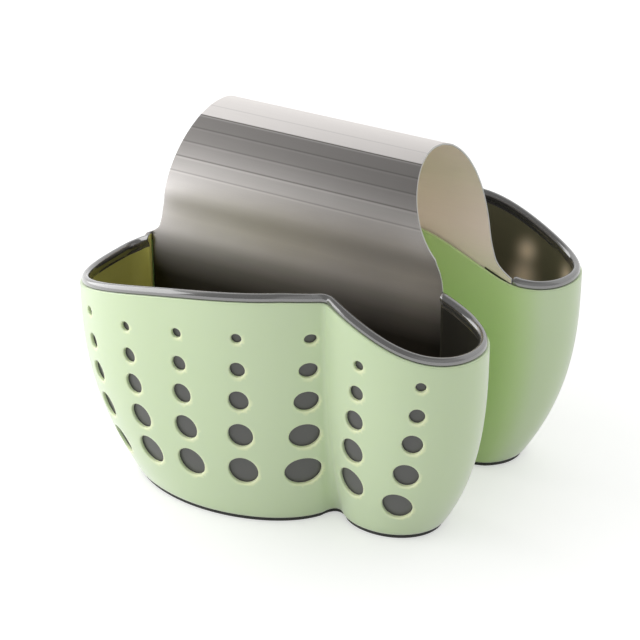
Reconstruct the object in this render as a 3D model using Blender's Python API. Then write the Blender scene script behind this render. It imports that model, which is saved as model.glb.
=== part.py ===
"""Sink organizer: two moulded baskets carried by one sheet-steel saddle band.

Lengths are in metres. X runs along the baskets, the front basket is at -Y and the
rear one is its mirror image at +Y. The feet stand on z = 0, and x = y = 0 is under
the middle of the band. A basket is drawn by its outline seen from above, in two
coordinates: x, and the depth d measured away from the flat wall at the divider.
"""
import math

import bpy
import numpy as np

# Clearances
FIT = 0.0003                 # between pieces that touch or sit in each other
LINER_PLAY = 0.0003          # between the liner and the shell's inner face

# Gap between the two baskets, where the wall between two sink bowls goes
GAP_HALF = 0.0160            # at the rim
GAP_HALF_FOOT = 0.0170       # at the foot
GAP_CURVE = 8.0              # how late the divider wall rounds off to the foot

# Rim outline of a basket: a big lobe and a small lobe, both superellipses
BIG_X = -0.0259
BIG_D = 0.0187
BIG_HALF_LENGTH = 0.0703
BIG_HALF_DEPTH = 0.0573
BIG_SQUARENESS = 2.31
SMALL_X = 0.0560
SMALL_D = 0.0257
SMALL_HALF_LENGTH = 0.0388
SMALL_HALF_DEPTH = 0.0288
SMALL_SQUARENESS = 2.05
CORNER_REACH = 0.0100        # rounding of the big lobe's corner beside the divider
END_REACH = 0.0060           # rounding where the small lobe leaves the divider
VALLEY_REACH = 0.0020        # rounding of the valley between the lobes

# Foot outline of a basket
FOOT_BIG_X = -0.0216
FOOT_BIG_D = 0.0281
FOOT_BIG_HALF_LENGTH = 0.0508
FOOT_BIG_HALF_DEPTH = 0.0321
FOOT_BIG_SQUARENESS = 1.95
FOOT_SMALL_D = 0.0188
FOOT_SMALL_HALF_LENGTH = 0.0233
FOOT_SMALL_HALF_DEPTH = 0.0202
FOOT_SMALL_SQUARENESS = 2.05
FOOT_LOBE_OVERLAP = 0.0014   # of the two lobes' lengths
FOOT_CORNER_REACH = 0.0080
FOOT_VALLEY_REACH = 0.0105

# Height of the rim along x, and how the walls curve from the foot up to it
RIM_CREST = 0.1100
CREST_LEFT_X = 0.0270        # left of here the rim falls as a parabola
CREST_RIGHT_X = 0.0210       # right of here it falls as a half cosine
RIM_END_X = 0.0950
RIM_DROP_LEFT = 0.0244
RIM_DROP_RIGHT = 0.0207
WALL_CURVE = 2.75

# Shell, liner and foot pad
WALL = 0.0014
FLOOR = 0.0018
LINER_WALL = 0.0016
LINER_FLOOR = 0.0016
PAD_THICKNESS = 0.0017
PAD_INSET = 0.0012
BEAD_RISE = 0.0033           # the liner's rim bead above the shell's edge
BEAD_INSET = 0.0008          # bead's outer face inside the shell's outer face
BEAD_OVERHANG = 0.0006       # bead's inner face past the liner's inner face
BEAD_SIDE = 0.0010           # upright part of the bead's sides
POCKET_BLEND = 0.0080        # depth over which the liner's pocket for the leg fades out

# Steel band
BAND_THICKNESS = 0.0008
BAND_TOP = 0.1552
CROWN_RADIUS = 0.0275        # outer
REVERSE_RADIUS = 0.0300      # bend from the crown back to the upright legs
CROWN_LEFT = 0.0589          # edges of the band at the top of the crown
CROWN_RIGHT = 0.0480
FLARE_LEFT = 0.0284          # how far each edge flares out
FLARE_RIGHT = 0.0275
FLARE_RUN = 0.0850           # over this length of sheet
FLARE_POWER = 1.74
TIP_RIGHT = 0.0760           # tip of the right shoulder, which lies on the basket's rim
SWEEP = 0.0041               # how far the right edge sweeps out into that shoulder
SWEEP_START = 0.0700         # from this length of sheet on
SWEEP_RUN = 0.0070
SEAT_LEFT = 0.0845           # edges of the leg just inside the basket
SEAT_RIGHT = 0.0632
LEG_END_LEFT = 0.0500        # edges of the leg at its lower end
LEG_END_RIGHT = 0.0400
LEG_END_Z = 0.0300
NOTCH_Z = 0.0560             # the liner's back wall starts below here
LEG_STRAIGHT_RISE = 0.0080   # above the notch the leg keeps its full width from here on

# Screws that clamp each leg between shell and liner
SCREW_X = (-0.0440, -0.0050, 0.0340)
SCREW_Z = 0.0420
SHAFT_RADIUS = 0.0013
HEAD_RADIUS = 0.0055
HEAD_HEIGHT = 0.0018
SOCKET_RADIUS = 0.0016
SOCKET_DEPTH = 0.0010
BOSS_RADIUS = 0.0035
BOSS_SKIN = 0.0008           # wall left under a boss's blind bore

# Oval holes of the shell: rows as shares of the wall's height, and columns that close
# up towards the foot, placed along the rim from the back wall's corner on
HOLE_ROWS = (0.852, 0.718, 0.581, 0.421, 0.246)
LEFT_COLUMNS = 3             # on the big lobe before the one that runs straight down
BIG_COLUMN = 0.1627          # the straight column
BIG_PITCH = 0.0275           # of the big lobe's columns at the rim
BIG_PITCH_FOOT = 0.0238      # and at the foot
VALLEY_PITCH = 0.0316        # from the straight column to the one beside the valley, at the rim
VALLEY_STRETCH = 1.25        # that column's holes are this much wider
SMALL_COLUMN = 0.2184        # first column on the small lobe at the rim
SMALL_COLUMN_FOOT = 0.2096   # and at the foot
SMALL_PITCH = 0.0266
END_SPREAD = 1.13            # the first and last columns' rows lie this much farther apart
HOLE_WIDTH = 0.0044          # top row
HOLE_WIDTH_GROWTH = 0.00210  # more in each row below
HOLE_HEIGHT = 0.0042
HOLE_HEIGHT_GROWTH = 0.00255
CUT_OUTSIDE = 0.0025         # how far a hole's cutter stands out of the wall
CUT_INSIDE = 0.0040          # and reaches in behind its outer face

# Drain holes through liner, shell and foot pad
DRAIN_RADIUS = 0.0030
DRAIN_PITCH = 0.0240
DRAINS_BIG = 3

# The rear basket swings about the middle of the crown's half circle as the band flexes
FLEX_ARM = 2.0 / math.pi

# Mesh fineness
BACK_STEPS = 2
CORNER_STEPS = 3
BIG_STEPS = 22
VALLEY_STEPS = 3
SMALL_STEPS = 12
END_STEPS = 2
LEVELS = (0.0, 0.06, 0.15, 0.29, 0.48, 0.72, 1.0)
BEAD_STEPS = 4
HOLE_SIDES = 10
DRAIN_SIDES = 10
ROUND_SIDES = 12
CROWN_STEPS = 34
REVERSE_STEPS = 7
LEG_STEPS = 5
TIP_STEPS = 4

FOOT_SMALL_X = FOOT_BIG_X + FOOT_BIG_HALF_LENGTH + FOOT_SMALL_HALF_LENGTH - FOOT_LOBE_OVERLAP
LEG_STRAIGHT_Z = NOTCH_Z + LEG_STRAIGHT_RISE
SHELL_BASE = PAD_THICKNESS + FIT
FLOOR_TOP = SHELL_BASE + FLOOR
LINER_BASE = FLOOR_TOP + FIT
LINER_FLOOR_TOP = LINER_BASE + LINER_FLOOR

FINISHES = {
    "steel": ((0.60, 0.58, 0.55), 0.34, 1.0),
    "green": ((0.60, 0.76, 0.44), 0.45, 0.0),
    "grey": ((0.055, 0.052, 0.045), 0.35, 0.0),
    "pad": ((0.030, 0.030, 0.028), 0.70, 0.0),
    "screw": ((0.62, 0.62, 0.60), 0.30, 1.0),
}


# Outline of a basket

def lobe_point(lobe, angle):
    """Point of a superellipse; a quarter turn is its front, three quarters its back."""
    cx, cd, half_length, half_depth, power = lobe
    c, s = math.cos(angle), math.sin(angle)
    x = cx + half_length * math.copysign(abs(c) ** (2 / power), c)
    d = cd + half_depth * math.copysign(abs(s) ** (2 / power), s)
    return np.array((x, d))


def inside_lobe(lobe, point):
    cx, cd, half_length, half_depth, power = lobe
    along = abs((point[0] - cx) / half_length) ** power
    across = abs((point[1] - cd) / half_depth) ** power
    return along + across < 1.0


def switch_angle(test, start, end):
    """Angle between start and end at which the test changes its answer."""
    first = test(start)
    for _ in range(40):
        middle = 0.5 * (start + end)
        if test(middle) == first:
            start = middle
        else:
            end = middle
    return 0.5 * (start + end)


def angle_at_reach(lobe, point, reach, start, end):
    """Angle of the lobe's point that lies the reach away from a point at start."""
    def is_near(angle):
        return np.hypot(*(lobe_point(lobe, angle) - point)) < reach
    return switch_angle(is_near, start, end)


def straight(start, end, steps):
    t = np.linspace(0.0, 1.0, steps + 1)[:-1, None]
    return (1 - t) * start + t * end


def rounded(before, corner, after, steps):
    t = np.linspace(0.0, 1.0, steps + 1)[:-1, None]
    return (1 - t) ** 2 * before + 2 * t * (1 - t) * corner + t * t * after


def lobe_arc(lobe, start, end, steps):
    return np.array([lobe_point(lobe, a) for a in np.linspace(start, end, steps + 1)[:-1]])


def outline(big, small, corner_reach, valley_reach, end_reach):
    """Closed outline: back wall, corner, big lobe, valley, small lobe, back wall."""
    quarter = 0.5 * math.pi
    back = switch_angle(lambda a: lobe_point(big, a)[1] > 0.0, 2 * quarter, 3 * quarter)
    corner = lobe_point(big, back)
    big_start = angle_at_reach(big, corner, corner_reach, back, quarter)
    big_cross = switch_angle(lambda a: inside_lobe(small, lobe_point(big, a)), quarter, 0.0)
    small_cross = switch_angle(
        lambda a: inside_lobe(big, lobe_point(small, a)), quarter, 2 * quarter)
    valley = 0.5 * (lobe_point(big, big_cross) + lobe_point(small, small_cross))
    big_end = angle_at_reach(big, valley, valley_reach, big_cross, quarter)
    small_start = angle_at_reach(small, valley, valley_reach, small_cross, 0.0)
    front_end = switch_angle(lambda a: lobe_point(small, a)[1] > 0.0, 0.0, -quarter)
    end = lobe_point(small, front_end)
    small_end = angle_at_reach(small, end, end_reach, front_end, 0.0)
    back_left = np.array((corner[0] + corner_reach, 0.0))
    back_right = np.array((end[0] - end_reach, 0.0))
    middle = 0.5 * (back_left + back_right)
    return np.concatenate((
        straight(middle, back_left, BACK_STEPS),
        rounded(back_left, corner, lobe_point(big, big_start), CORNER_STEPS),
        lobe_arc(big, big_start, big_end, BIG_STEPS),
        rounded(lobe_point(big, big_end), valley, lobe_point(small, small_start), VALLEY_STEPS),
        lobe_arc(small, small_start, small_end, SMALL_STEPS),
        rounded(lobe_point(small, small_end), end, back_right, END_STEPS),
        straight(back_right, middle, BACK_STEPS),
    ))


def rim_height(x):
    """Height of the shell's edge: the lower of a parabola and a half cosine."""
    left = max(0.0, (CREST_LEFT_X - x) / (CREST_LEFT_X + RIM_END_X))
    right = min(1.0, max(0.0, (x - CREST_RIGHT_X) / (RIM_END_X - CREST_RIGHT_X)))
    fall = max(RIM_DROP_LEFT * left ** 2,
               RIM_DROP_RIGHT * (1 - math.cos(math.pi * right)) / 2)
    return RIM_CREST - fall


RIM_BIG = (BIG_X, BIG_D, BIG_HALF_LENGTH, BIG_HALF_DEPTH, BIG_SQUARENESS)
RIM_SMALL = (SMALL_X, SMALL_D, SMALL_HALF_LENGTH, SMALL_HALF_DEPTH, SMALL_SQUARENESS)
FOOT_BIG = (FOOT_BIG_X, FOOT_BIG_D, FOOT_BIG_HALF_LENGTH, FOOT_BIG_HALF_DEPTH,
            FOOT_BIG_SQUARENESS)
FOOT_SMALL = (FOOT_SMALL_X, FOOT_SMALL_D, FOOT_SMALL_HALF_LENGTH,
              FOOT_SMALL_HALF_DEPTH, FOOT_SMALL_SQUARENESS)
RIM_OUTLINE = outline(RIM_BIG, RIM_SMALL, CORNER_REACH, VALLEY_REACH, END_REACH)
FOOT_OUTLINE = outline(FOOT_BIG, FOOT_SMALL, FOOT_CORNER_REACH, FOOT_VALLEY_REACH, END_REACH)
RIM_Z = np.array([rim_height(x) for x in RIM_OUTLINE[:, 0]])


def back_curve(x):
    """Depth of the small lobe's rim past the flat back line."""
    along = min(1.0, max(0.0, (x - SMALL_X) / SMALL_HALF_LENGTH))
    reach = SMALL_HALF_DEPTH * (1 - along ** SMALL_SQUARENESS) ** (1 / SMALL_SQUARENESS)
    return max(0.0, SMALL_D - reach)


# The band's leg lies flat on the shell's back wall, clear of the small lobe's curve
LEG_BACK_Y = GAP_HALF + WALL + FIT + back_curve(SEAT_RIGHT)
LEG_FRONT_Y = LEG_BACK_Y + BAND_THICKNESS
LINER_INSET = WALL + LINER_PLAY
POCKET = LEG_FRONT_Y + FIT - GAP_HALF - LINER_INSET
POCKETS = POCKET * np.clip(1 - RIM_OUTLINE[:, 1] / POCKET_BLEND, 0.0, 1.0)
LINER_BACK_Y = LEG_FRONT_Y + FIT
LINER_FACE_Y = LINER_BACK_Y + LINER_WALL


# Walls of a basket

def wall_ring(level, inset, lift=0.0):
    """Ring of points round a wall, from the foot (level 0) to the rim (level 1)."""
    level = np.broadcast_to(level, RIM_Z.shape)
    rise = 1 - (1 - level) ** WALL_CURVE
    flat = FOOT_OUTLINE + (RIM_OUTLINE - FOOT_OUTLINE) * rise[:, None]
    along = np.roll(flat, -1, axis=0) - np.roll(flat, 1, axis=0)
    along /= np.linalg.norm(along, axis=1)[:, None]
    inward = np.column_stack((along[:, 1], -along[:, 0]))
    flat = flat + np.broadcast_to(inset, RIM_Z.shape)[:, None] * inward
    back = GAP_HALF + (GAP_HALF_FOOT - GAP_HALF) * (1 - level) ** GAP_CURVE
    height = SHELL_BASE + (RIM_Z - SHELL_BASE) * level + lift
    return np.column_stack((flat[:, 0], -(back + flat[:, 1]), height))


def level_at(z):
    """Level of each point of the outline at one height."""
    return (z - SHELL_BASE) / (RIM_Z - SHELL_BASE)


def wall_rings(base_z, inset):
    base = level_at(base_z)
    return [wall_ring(base + (1 - base) * t, inset) for t in LEVELS]


def column_frame(distance, level):
    """Point of the outer wall a distance along the rim, with its three directions."""
    rim = RIM_OUTLINE[BACK_STEPS:]
    run = np.concatenate(((0.0,), np.cumsum(np.linalg.norm(np.diff(rim, axis=0), axis=1))))
    place = BACK_STEPS + np.interp(distance, run, np.arange(len(rim)))
    first = int(place)

    def at(station, height):
        ring = wall_ring(height, 0.0)
        share = station - int(station)
        return (1 - share) * ring[int(station)] + share * ring[int(station) + 1]

    step = 0.01
    point = at(place, level)
    sideways = wall_ring(level, 0.0)[first + 1] - wall_ring(level, 0.0)[first]
    upward = at(place, level + step) - at(place, level - step)
    sideways /= np.linalg.norm(sideways)
    outward = np.cross(sideways, upward)
    outward /= np.linalg.norm(outward)
    return point, sideways, np.cross(outward, sideways), outward


# Mesh helpers

def make_object(name, finish, points, faces, side):
    """Object from points of the front half space, mirrored to the rear for side +1."""
    points = np.array(points, dtype=float)
    if side > 0:
        points = points * (1.0, -1.0, 1.0)
        faces = [(face[0], *face[:0:-1]) for face in faces]
    mesh = bpy.data.meshes.new(name)
    mesh.from_pydata([tuple(p) for p in points], [], [tuple(f) for f in faces])
    mesh.shade_smooth()
    mesh.set_sharp_from_angle(angle=math.radians(35))
    thing = bpy.data.objects.new(name, mesh)
    bpy.context.scene.collection.objects.link(thing)
    if finish:
        colour, roughness, metallic = FINISHES[finish]
        material = bpy.data.materials.new(name)
        material.use_nodes = True
        shader = material.node_tree.nodes["Principled BSDF"]
        shader.inputs["Base Color"].default_value = (*colour, 1.0)
        shader.inputs["Roughness"].default_value = roughness
        shader.inputs["Metallic"].default_value = metallic
        mesh.materials.append(material)
    return thing


def skin(rings):
    """Points and faces of a solid whose skin passes through the rings in turn."""
    count = len(rings[0])
    faces = [tuple(reversed(range(count)))]
    for k in range(len(rings) - 1):
        low, high = k * count, (k + 1) * count
        for i in range(count):
            j = (i + 1) % count
            faces.append((low + i, low + j, high + j, high + i))
    last = (len(rings) - 1) * count
    faces.append(tuple(last + i for i in range(count)))
    return np.concatenate(rings), faces


def join(solids):
    """One point list and one face list from several solids."""
    points, faces, start = [], [], 0
    for some_points, some_faces in solids:
        points.append(some_points)
        faces += [tuple(start + i for i in face) for face in some_faces]
        start += len(some_points)
    return np.concatenate(points), faces


def disc(centre, axis_u, axis_v, radius_u, radius_v, sides):
    turn = 2 * math.pi * (np.arange(sides) + 0.5) / sides
    return (np.asarray(centre) + radius_u * np.cos(turn)[:, None] * np.asarray(axis_u)
            + radius_v * np.sin(turn)[:, None] * np.asarray(axis_v))


def depth_rod(x, z, profile, sides=ROUND_SIDES):
    """Turned solid along the depth, from pairs of (distance from the middle, radius)."""
    rings = [disc((x, -y, z), (1, 0, 0), (0, 0, -1), r, r, sides) for y, r in profile]
    return skin(rings)


def upright_rod(x, y, low, high, radius, sides):
    return skin([disc((x, y, z), (1, 0, 0), (0, 1, 0), radius, radius, sides)
                 for z in (low, high)])


def use_cutter(thing, name, solid, side, operation="DIFFERENCE"):
    """Boolean with a hidden solid."""
    cutter = make_object(name, None, *solid, side)
    cutter.hide_render = True
    cutter.display_type = "WIRE"
    cut = thing.modifiers.new(name, "BOOLEAN")
    cut.operation = operation
    cut.solver = "EXACT"
    cut.object = cutter
    cutter.parent = thing


# Cutters

def hole_places():
    """Distance along the rim, level, width and height of each oval hole."""
    places = []
    middle = HOLE_ROWS[len(HOLE_ROWS) // 2]
    for row, level in enumerate(HOLE_ROWS):
        pitch = BIG_PITCH_FOOT + (BIG_PITCH - BIG_PITCH_FOOT) * level
        valley_pitch = BIG_PITCH_FOOT + (VALLEY_PITCH - BIG_PITCH_FOOT) * level
        small_first = SMALL_COLUMN_FOOT + (SMALL_COLUMN - SMALL_COLUMN_FOOT) * level
        columns = [BIG_COLUMN - k * pitch for k in range(LEFT_COLUMNS, -1, -1)]
        columns += [BIG_COLUMN + valley_pitch, small_first, small_first + SMALL_PITCH]
        for k, distance in enumerate(columns):
            spread = END_SPREAD if k in (0, len(columns) - 1) else 1.0
            stretch = VALLEY_STRETCH if k == LEFT_COLUMNS + 1 else 1.0
            places.append((distance, middle + (level - middle) * spread,
                           stretch * (HOLE_WIDTH + row * HOLE_WIDTH_GROWTH),
                           HOLE_HEIGHT + row * HOLE_HEIGHT_GROWTH))
    return places


def oval_holes():
    solids = []
    for distance, level, width, height in hole_places():
        point, sideways, upward, outward = column_frame(distance, level)
        solids.append(skin([
            disc(point + outward * reach, sideways, upward, width / 2, height / 2, HOLE_SIDES)
            for reach in (-CUT_INSIDE, CUT_OUTSIDE)]))
    return join(solids)


def drain_holes():
    middle = -(GAP_HALF_FOOT + FOOT_BIG_D)
    first = FOOT_BIG_X - DRAIN_PITCH * (DRAINS_BIG - 1) / 2
    places = [(first + k * DRAIN_PITCH, middle) for k in range(DRAINS_BIG)]
    places.append((FOOT_SMALL_X, -(GAP_HALF_FOOT + FOOT_SMALL_D)))
    low = -PAD_THICKNESS
    high = LINER_FLOOR_TOP + PAD_THICKNESS
    return join([upright_rod(x, y, low, high, DRAIN_RADIUS, DRAIN_SIDES) for x, y in places])


def leg_holes():
    """Clearance through the leg and the liner for the shell's bosses."""
    near, far = GAP_HALF + WALL / 2, LINER_FACE_Y + WALL
    radius = BOSS_RADIUS + FIT
    return join([depth_rod(x, SCREW_Z, ((far, radius), (near, radius))) for x in SCREW_X])


def leg_edge(z, seat, end):
    """Edge of a leg inside the basket: upright at first, then narrowing to its lower end."""
    share = min(1.0, max(0.0, (z - LEG_END_Z) / (LEG_STRAIGHT_Z - LEG_END_Z)))
    return end + (seat - end) * share


LEFT_SHOULDER_Z = rim_height(-SEAT_LEFT) + BEAD_RISE + 2 * FIT
RIGHT_SHOULDER_Z = rim_height(TIP_RIGHT)


def rim_line(start, end, lift):
    """Points of a side view along the rim, a little above the shell's edge."""
    return [(x, rim_height(x) + lift) for x in np.linspace(start, end, TIP_STEPS + 1)]


def side_prism(side_view, near, far):
    """Solid from an anticlockwise side view, from one depth to another."""
    return skin([np.array([(x, -y, z) for x, z in side_view]) for y in (near, far)])


def shoulder_cut():
    """What the right shoulder leaves free: the shell's rim and all that lies below it."""
    low = RIGHT_SHOULDER_Z - BEAD_RISE / 2
    end = TIP_RIGHT + BEAD_RISE
    side_view = [(SEAT_RIGHT, low), (end, low)] + rim_line(end, SEAT_RIGHT, 2 * FIT)
    return side_prism(side_view, GAP_HALF, CROWN_RADIUS)


def liner_notch():
    """Cut in the liner's back wall where the leg lies bare."""
    top = RIM_CREST + 2 * BEAD_RISE
    left = -leg_edge(NOTCH_Z, SEAT_LEFT, LEG_END_LEFT)
    right = leg_edge(NOTCH_Z, SEAT_RIGHT, LEG_END_RIGHT)
    side_view = [(left, NOTCH_Z), (right, NOTCH_Z), (SEAT_RIGHT + FIT, LEG_STRAIGHT_Z)]
    side_view += rim_line(SEAT_RIGHT + FIT, TIP_RIGHT + FIT, FIT)
    side_view += [(TIP_RIGHT + FIT, top), (-SEAT_LEFT - FIT, top),
                  (-SEAT_LEFT - FIT, LEG_STRAIGHT_Z)]
    far = LINER_FACE_Y + BEAD_OVERHANG + LINER_WALL + back_curve(TIP_RIGHT)
    return side_prism(side_view, GAP_HALF / 2, far)


# Pieces

def make_shell(name, side):
    points, faces = skin(wall_rings(SHELL_BASE, 0.0) + wall_rings(FLOOR_TOP, WALL)[::-1])
    shell = make_object(name, "green", points, faces, side)
    boss_root = GAP_HALF + WALL / 2
    boss_end = LINER_FACE_Y - FIT
    bosses = join([depth_rod(x, SCREW_Z, ((boss_end, BOSS_RADIUS), (boss_root, BOSS_RADIUS)))
                   for x in SCREW_X])
    bores = join([depth_rod(x, SCREW_Z, ((boss_end + WALL, SHAFT_RADIUS + FIT),
                                         (GAP_HALF + BOSS_SKIN, SHAFT_RADIUS + FIT)), HOLE_SIDES)
                  for x in SCREW_X])
    use_cutter(shell, name + "_bosses", bosses, side, "UNION")
    use_cutter(shell, name + "_bores", bores, side)
    use_cutter(shell, name + "_ovals", oval_holes(), side)
    use_cutter(shell, name + "_drains", drain_holes(), side)
    return shell


def bead_rings(outer, inner):
    """Rings over the liner's rounded rim, from its outer to its inner face."""
    rings = [wall_ring(1.0, outer, FIT)]
    middle, half = (outer_bead() + inner) / 2, (inner - outer_bead()) / 2
    for k in range(BEAD_STEPS + 1):
        turn = math.pi * k / BEAD_STEPS
        lift = FIT + BEAD_SIDE + (BEAD_RISE - FIT - BEAD_SIDE) * math.sin(turn)
        if k == 0:
            rings.append(wall_ring(1.0, outer_bead(), FIT))
        rings.append(wall_ring(1.0, middle - half * math.cos(turn), lift))
    return rings


def outer_bead():
    return np.full(RIM_Z.shape, BEAD_INSET)


def make_liner(name, side):
    outer = LINER_INSET + POCKETS
    inner = outer + LINER_WALL
    outside = wall_rings(LINER_BASE, outer)[:-1]
    inside = wall_rings(LINER_FLOOR_TOP, inner)
    rings = outside + bead_rings(outer, inner + BEAD_OVERHANG) + inside[::-1]
    liner = make_object(name, "grey", *skin(rings), side)
    use_cutter(liner, name + "_notch", liner_notch(), side)
    use_cutter(liner, name + "_holes", leg_holes(), side)
    use_cutter(liner, name + "_drains", drain_holes(), side)
    return liner


def make_pad(name, side):
    ring = wall_ring(0.0, PAD_INSET)
    rings = [ring * (1, 1, 0), ring * (1, 1, 0) + (0, 0, PAD_THICKNESS)]
    pad = make_object(name, "pad", *skin(rings), side)
    use_cutter(pad, name + "_drains", drain_holes(), side)
    return pad


def make_screw(name, side, x):
    under_head = LINER_FACE_Y + FIT
    tip = GAP_HALF + BOSS_SKIN + FIT
    top = under_head + HEAD_HEIGHT
    edge = under_head + HEAD_HEIGHT / 2
    profile = ((top - SOCKET_DEPTH, SOCKET_RADIUS), (top, SOCKET_RADIUS),
               (top, HEAD_RADIUS * 0.6), (edge, HEAD_RADIUS), (under_head, HEAD_RADIUS),
               (under_head, SHAFT_RADIUS), (tip, SHAFT_RADIUS))
    return make_object(name, "screw", *depth_rod(x, SCREW_Z, profile), side)


def band_rows():
    """Half of the band's side view: (outer y, z), (inner y, z) and the run from the top."""
    crown_z = BAND_TOP - CROWN_RADIUS
    reach = LEG_FRONT_Y + REVERSE_RADIUS
    drop = math.sqrt((CROWN_RADIUS + REVERSE_RADIUS) ** 2 - reach ** 2)
    tilt = math.atan2(drop, reach)
    bend_z = crown_z - drop
    rows = []
    half_turn = math.pi / 2 + tilt
    for k in range(CROWN_STEPS // 2 + 1):
        turn = half_turn * k / (CROWN_STEPS // 2)
        s, c = math.sin(turn), math.cos(turn)
        inner = CROWN_RADIUS - BAND_THICKNESS
        rows.append((CROWN_RADIUS * s, crown_z + CROWN_RADIUS * c,
                     inner * s, crown_z + inner * c, CROWN_RADIUS * turn))
    run = CROWN_RADIUS * half_turn
    for k in range(1, REVERSE_STEPS + 1):
        turn = tilt * (1 - k / REVERSE_STEPS)
        s, c = math.sin(turn), math.cos(turn)
        inner = REVERSE_RADIUS + BAND_THICKNESS
        rows.append((reach - REVERSE_RADIUS * c, bend_z + REVERSE_RADIUS * s,
                     reach - inner * c, bend_z + inner * s, run + REVERSE_RADIUS * (tilt - turn)))
    run += REVERSE_RADIUS * tilt
    for k in range(1, LEG_STEPS + 1):
        z = bend_z + (LEG_END_Z - bend_z) * k / LEG_STEPS
        rows.append((LEG_FRONT_Y, z, LEG_BACK_Y, z, run + bend_z - z))
    return rows


def with_steps(rows, steps):
    """Adds rows just above and just below the heights where an edge steps in."""
    heights = sorted([z + FIT / 2 for z in steps] + [z - FIT / 2 for z in steps], reverse=True)
    result = rows[:1]
    for above, below in zip(rows, rows[1:]):
        for height in heights:
            if above[1] > height > below[1]:
                share = (above[1] - height) / (above[1] - below[1])
                result.append(tuple(a + (b - a) * share for a, b in zip(above, below)))
        result.append(below)
    return result


def flare(run, crown, growth):
    return crown + growth * (run / FLARE_RUN) ** FLARE_POWER


def make_band(name):
    rows = with_steps(band_rows(), (LEFT_SHOULDER_Z, RIGHT_SHOULDER_Z))
    rings = []
    for outer_y, outer_z, inner_y, inner_z, run in rows:
        if outer_z > LEFT_SHOULDER_Z:
            left = flare(run, CROWN_LEFT, FLARE_LEFT)
        else:
            left = leg_edge(outer_z, SEAT_LEFT, LEG_END_LEFT)
        if outer_z > RIGHT_SHOULDER_Z:
            sweep = SWEEP * max(0.0, (run - SWEEP_START) / SWEEP_RUN) ** 2
            right = min(TIP_RIGHT, flare(run, CROWN_RIGHT, FLARE_RIGHT) + sweep)
        else:
            right = leg_edge(outer_z, SEAT_RIGHT, LEG_END_RIGHT)
        rings.append(np.array(((-left, -outer_y, outer_z), (right, -outer_y, outer_z),
                               (right, -inner_y, inner_z), (-left, -inner_y, inner_z))))
    rear = [ring * (1, -1, 1) for ring in rings[1:]]
    band = make_object(name, "steel", *skin(rings[::-1] + rear), -1)
    for where, side in (("_front", -1), ("_rear", 1)):
        use_cutter(band, name + where + "_shoulder", shoulder_cut(), side)
        use_cutter(band, name + where + "_holes", leg_holes(), side)
    return band


def make_basket(where, side):
    pieces = [make_shell(where + "_shell", side), make_liner(where + "_liner", side),
              make_pad(where + "_foot_pad", side)]
    for k, x in enumerate(SCREW_X):
        pieces.append(make_screw(f"{where}_screw_{k + 1}", side, x))
    return pieces


def main():
    for thing in list(bpy.data.objects):
        bpy.data.objects.remove(thing, do_unlink=True)
    make_band("saddle_band")
    make_basket("front", -1)
    rear = make_basket("rear", 1)
    pivot = bpy.data.objects.new("rear_pivot", None)
    bpy.context.scene.collection.objects.link(pivot)
    pivot.location = (0.0, 0.0, BAND_TOP - CROWN_RADIUS * (1 - FLEX_ARM))
    bpy.context.view_layer.update()
    for piece in rear:
        piece.parent = pivot
        piece.matrix_parent_inverse = pivot.matrix_world.inverted()


main()
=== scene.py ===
import math

import bpy
import numpy as np
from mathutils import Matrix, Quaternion, Vector
from mathutils.geometry import delaunay_2d_cdt


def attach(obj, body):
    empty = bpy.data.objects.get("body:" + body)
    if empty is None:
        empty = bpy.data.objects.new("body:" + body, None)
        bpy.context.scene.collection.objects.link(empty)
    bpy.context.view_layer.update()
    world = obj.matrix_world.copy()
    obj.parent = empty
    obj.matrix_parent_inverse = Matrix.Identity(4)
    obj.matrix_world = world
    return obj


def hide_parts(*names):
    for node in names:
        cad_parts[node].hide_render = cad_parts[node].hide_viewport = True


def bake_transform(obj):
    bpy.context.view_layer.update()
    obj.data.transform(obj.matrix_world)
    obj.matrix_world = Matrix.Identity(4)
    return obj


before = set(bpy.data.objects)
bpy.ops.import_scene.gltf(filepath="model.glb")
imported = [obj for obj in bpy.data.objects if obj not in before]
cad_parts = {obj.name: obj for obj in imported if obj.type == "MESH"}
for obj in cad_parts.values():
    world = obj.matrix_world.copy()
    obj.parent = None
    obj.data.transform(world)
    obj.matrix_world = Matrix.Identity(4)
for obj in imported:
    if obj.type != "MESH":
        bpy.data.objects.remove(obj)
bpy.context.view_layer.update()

# Sizes of the solids, in metres, as in the frame
FIT = 0.0003
LINER_PLAY = 0.0003
GAP_HALF = 0.0160
GAP_HALF_FOOT = 0.0170
GAP_CURVE = 8.0
RIM_BIG = (-0.0259, 0.0187, 0.0703, 0.0573, 2.31)
RIM_SMALL = (0.0560, 0.0257, 0.0388, 0.0288, 2.05)
CORNER_REACH = 0.0100
END_REACH = 0.0060
VALLEY_REACH = 0.0020
FOOT_BIG = (-0.0216, 0.0281, 0.0508, 0.0321, 1.95)
FOOT_SMALL = (0.0511, 0.0188, 0.0233, 0.0202, 2.05)
FOOT_CORNER_REACH = 0.0080
FOOT_VALLEY_REACH = 0.0105
RIM_CREST = 0.1100
CREST_LEFT_X = 0.0270
CREST_RIGHT_X = 0.0210
RIM_END_X = 0.0950
RIM_DROP_LEFT = 0.0244
RIM_DROP_RIGHT = 0.0207
WALL_CURVE = 2.75
WALL = 0.0014
FLOOR = 0.0018
LINER_WALL = 0.0016
LINER_FLOOR = 0.0016
PAD_THICKNESS = 0.0017
PAD_INSET = 0.0012
BEAD_RISE = 0.0033
BEAD_INSET = 0.0008
BEAD_OVERHANG = 0.0010
BEAD_SIDE = 0.0010
POCKET_BLEND = 0.0080
BAND_THICKNESS = 0.0008
BAND_TOP = 0.1552
CROWN_RADIUS = 0.0275
REVERSE_RADIUS = 0.0300
CROWN_LEFT = 0.0589
CROWN_RIGHT = 0.0480
FLARE_LEFT = 0.0284
FLARE_RIGHT = 0.0275
FLARE_RUN = 0.0850
FLARE_POWER = 1.74
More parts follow.
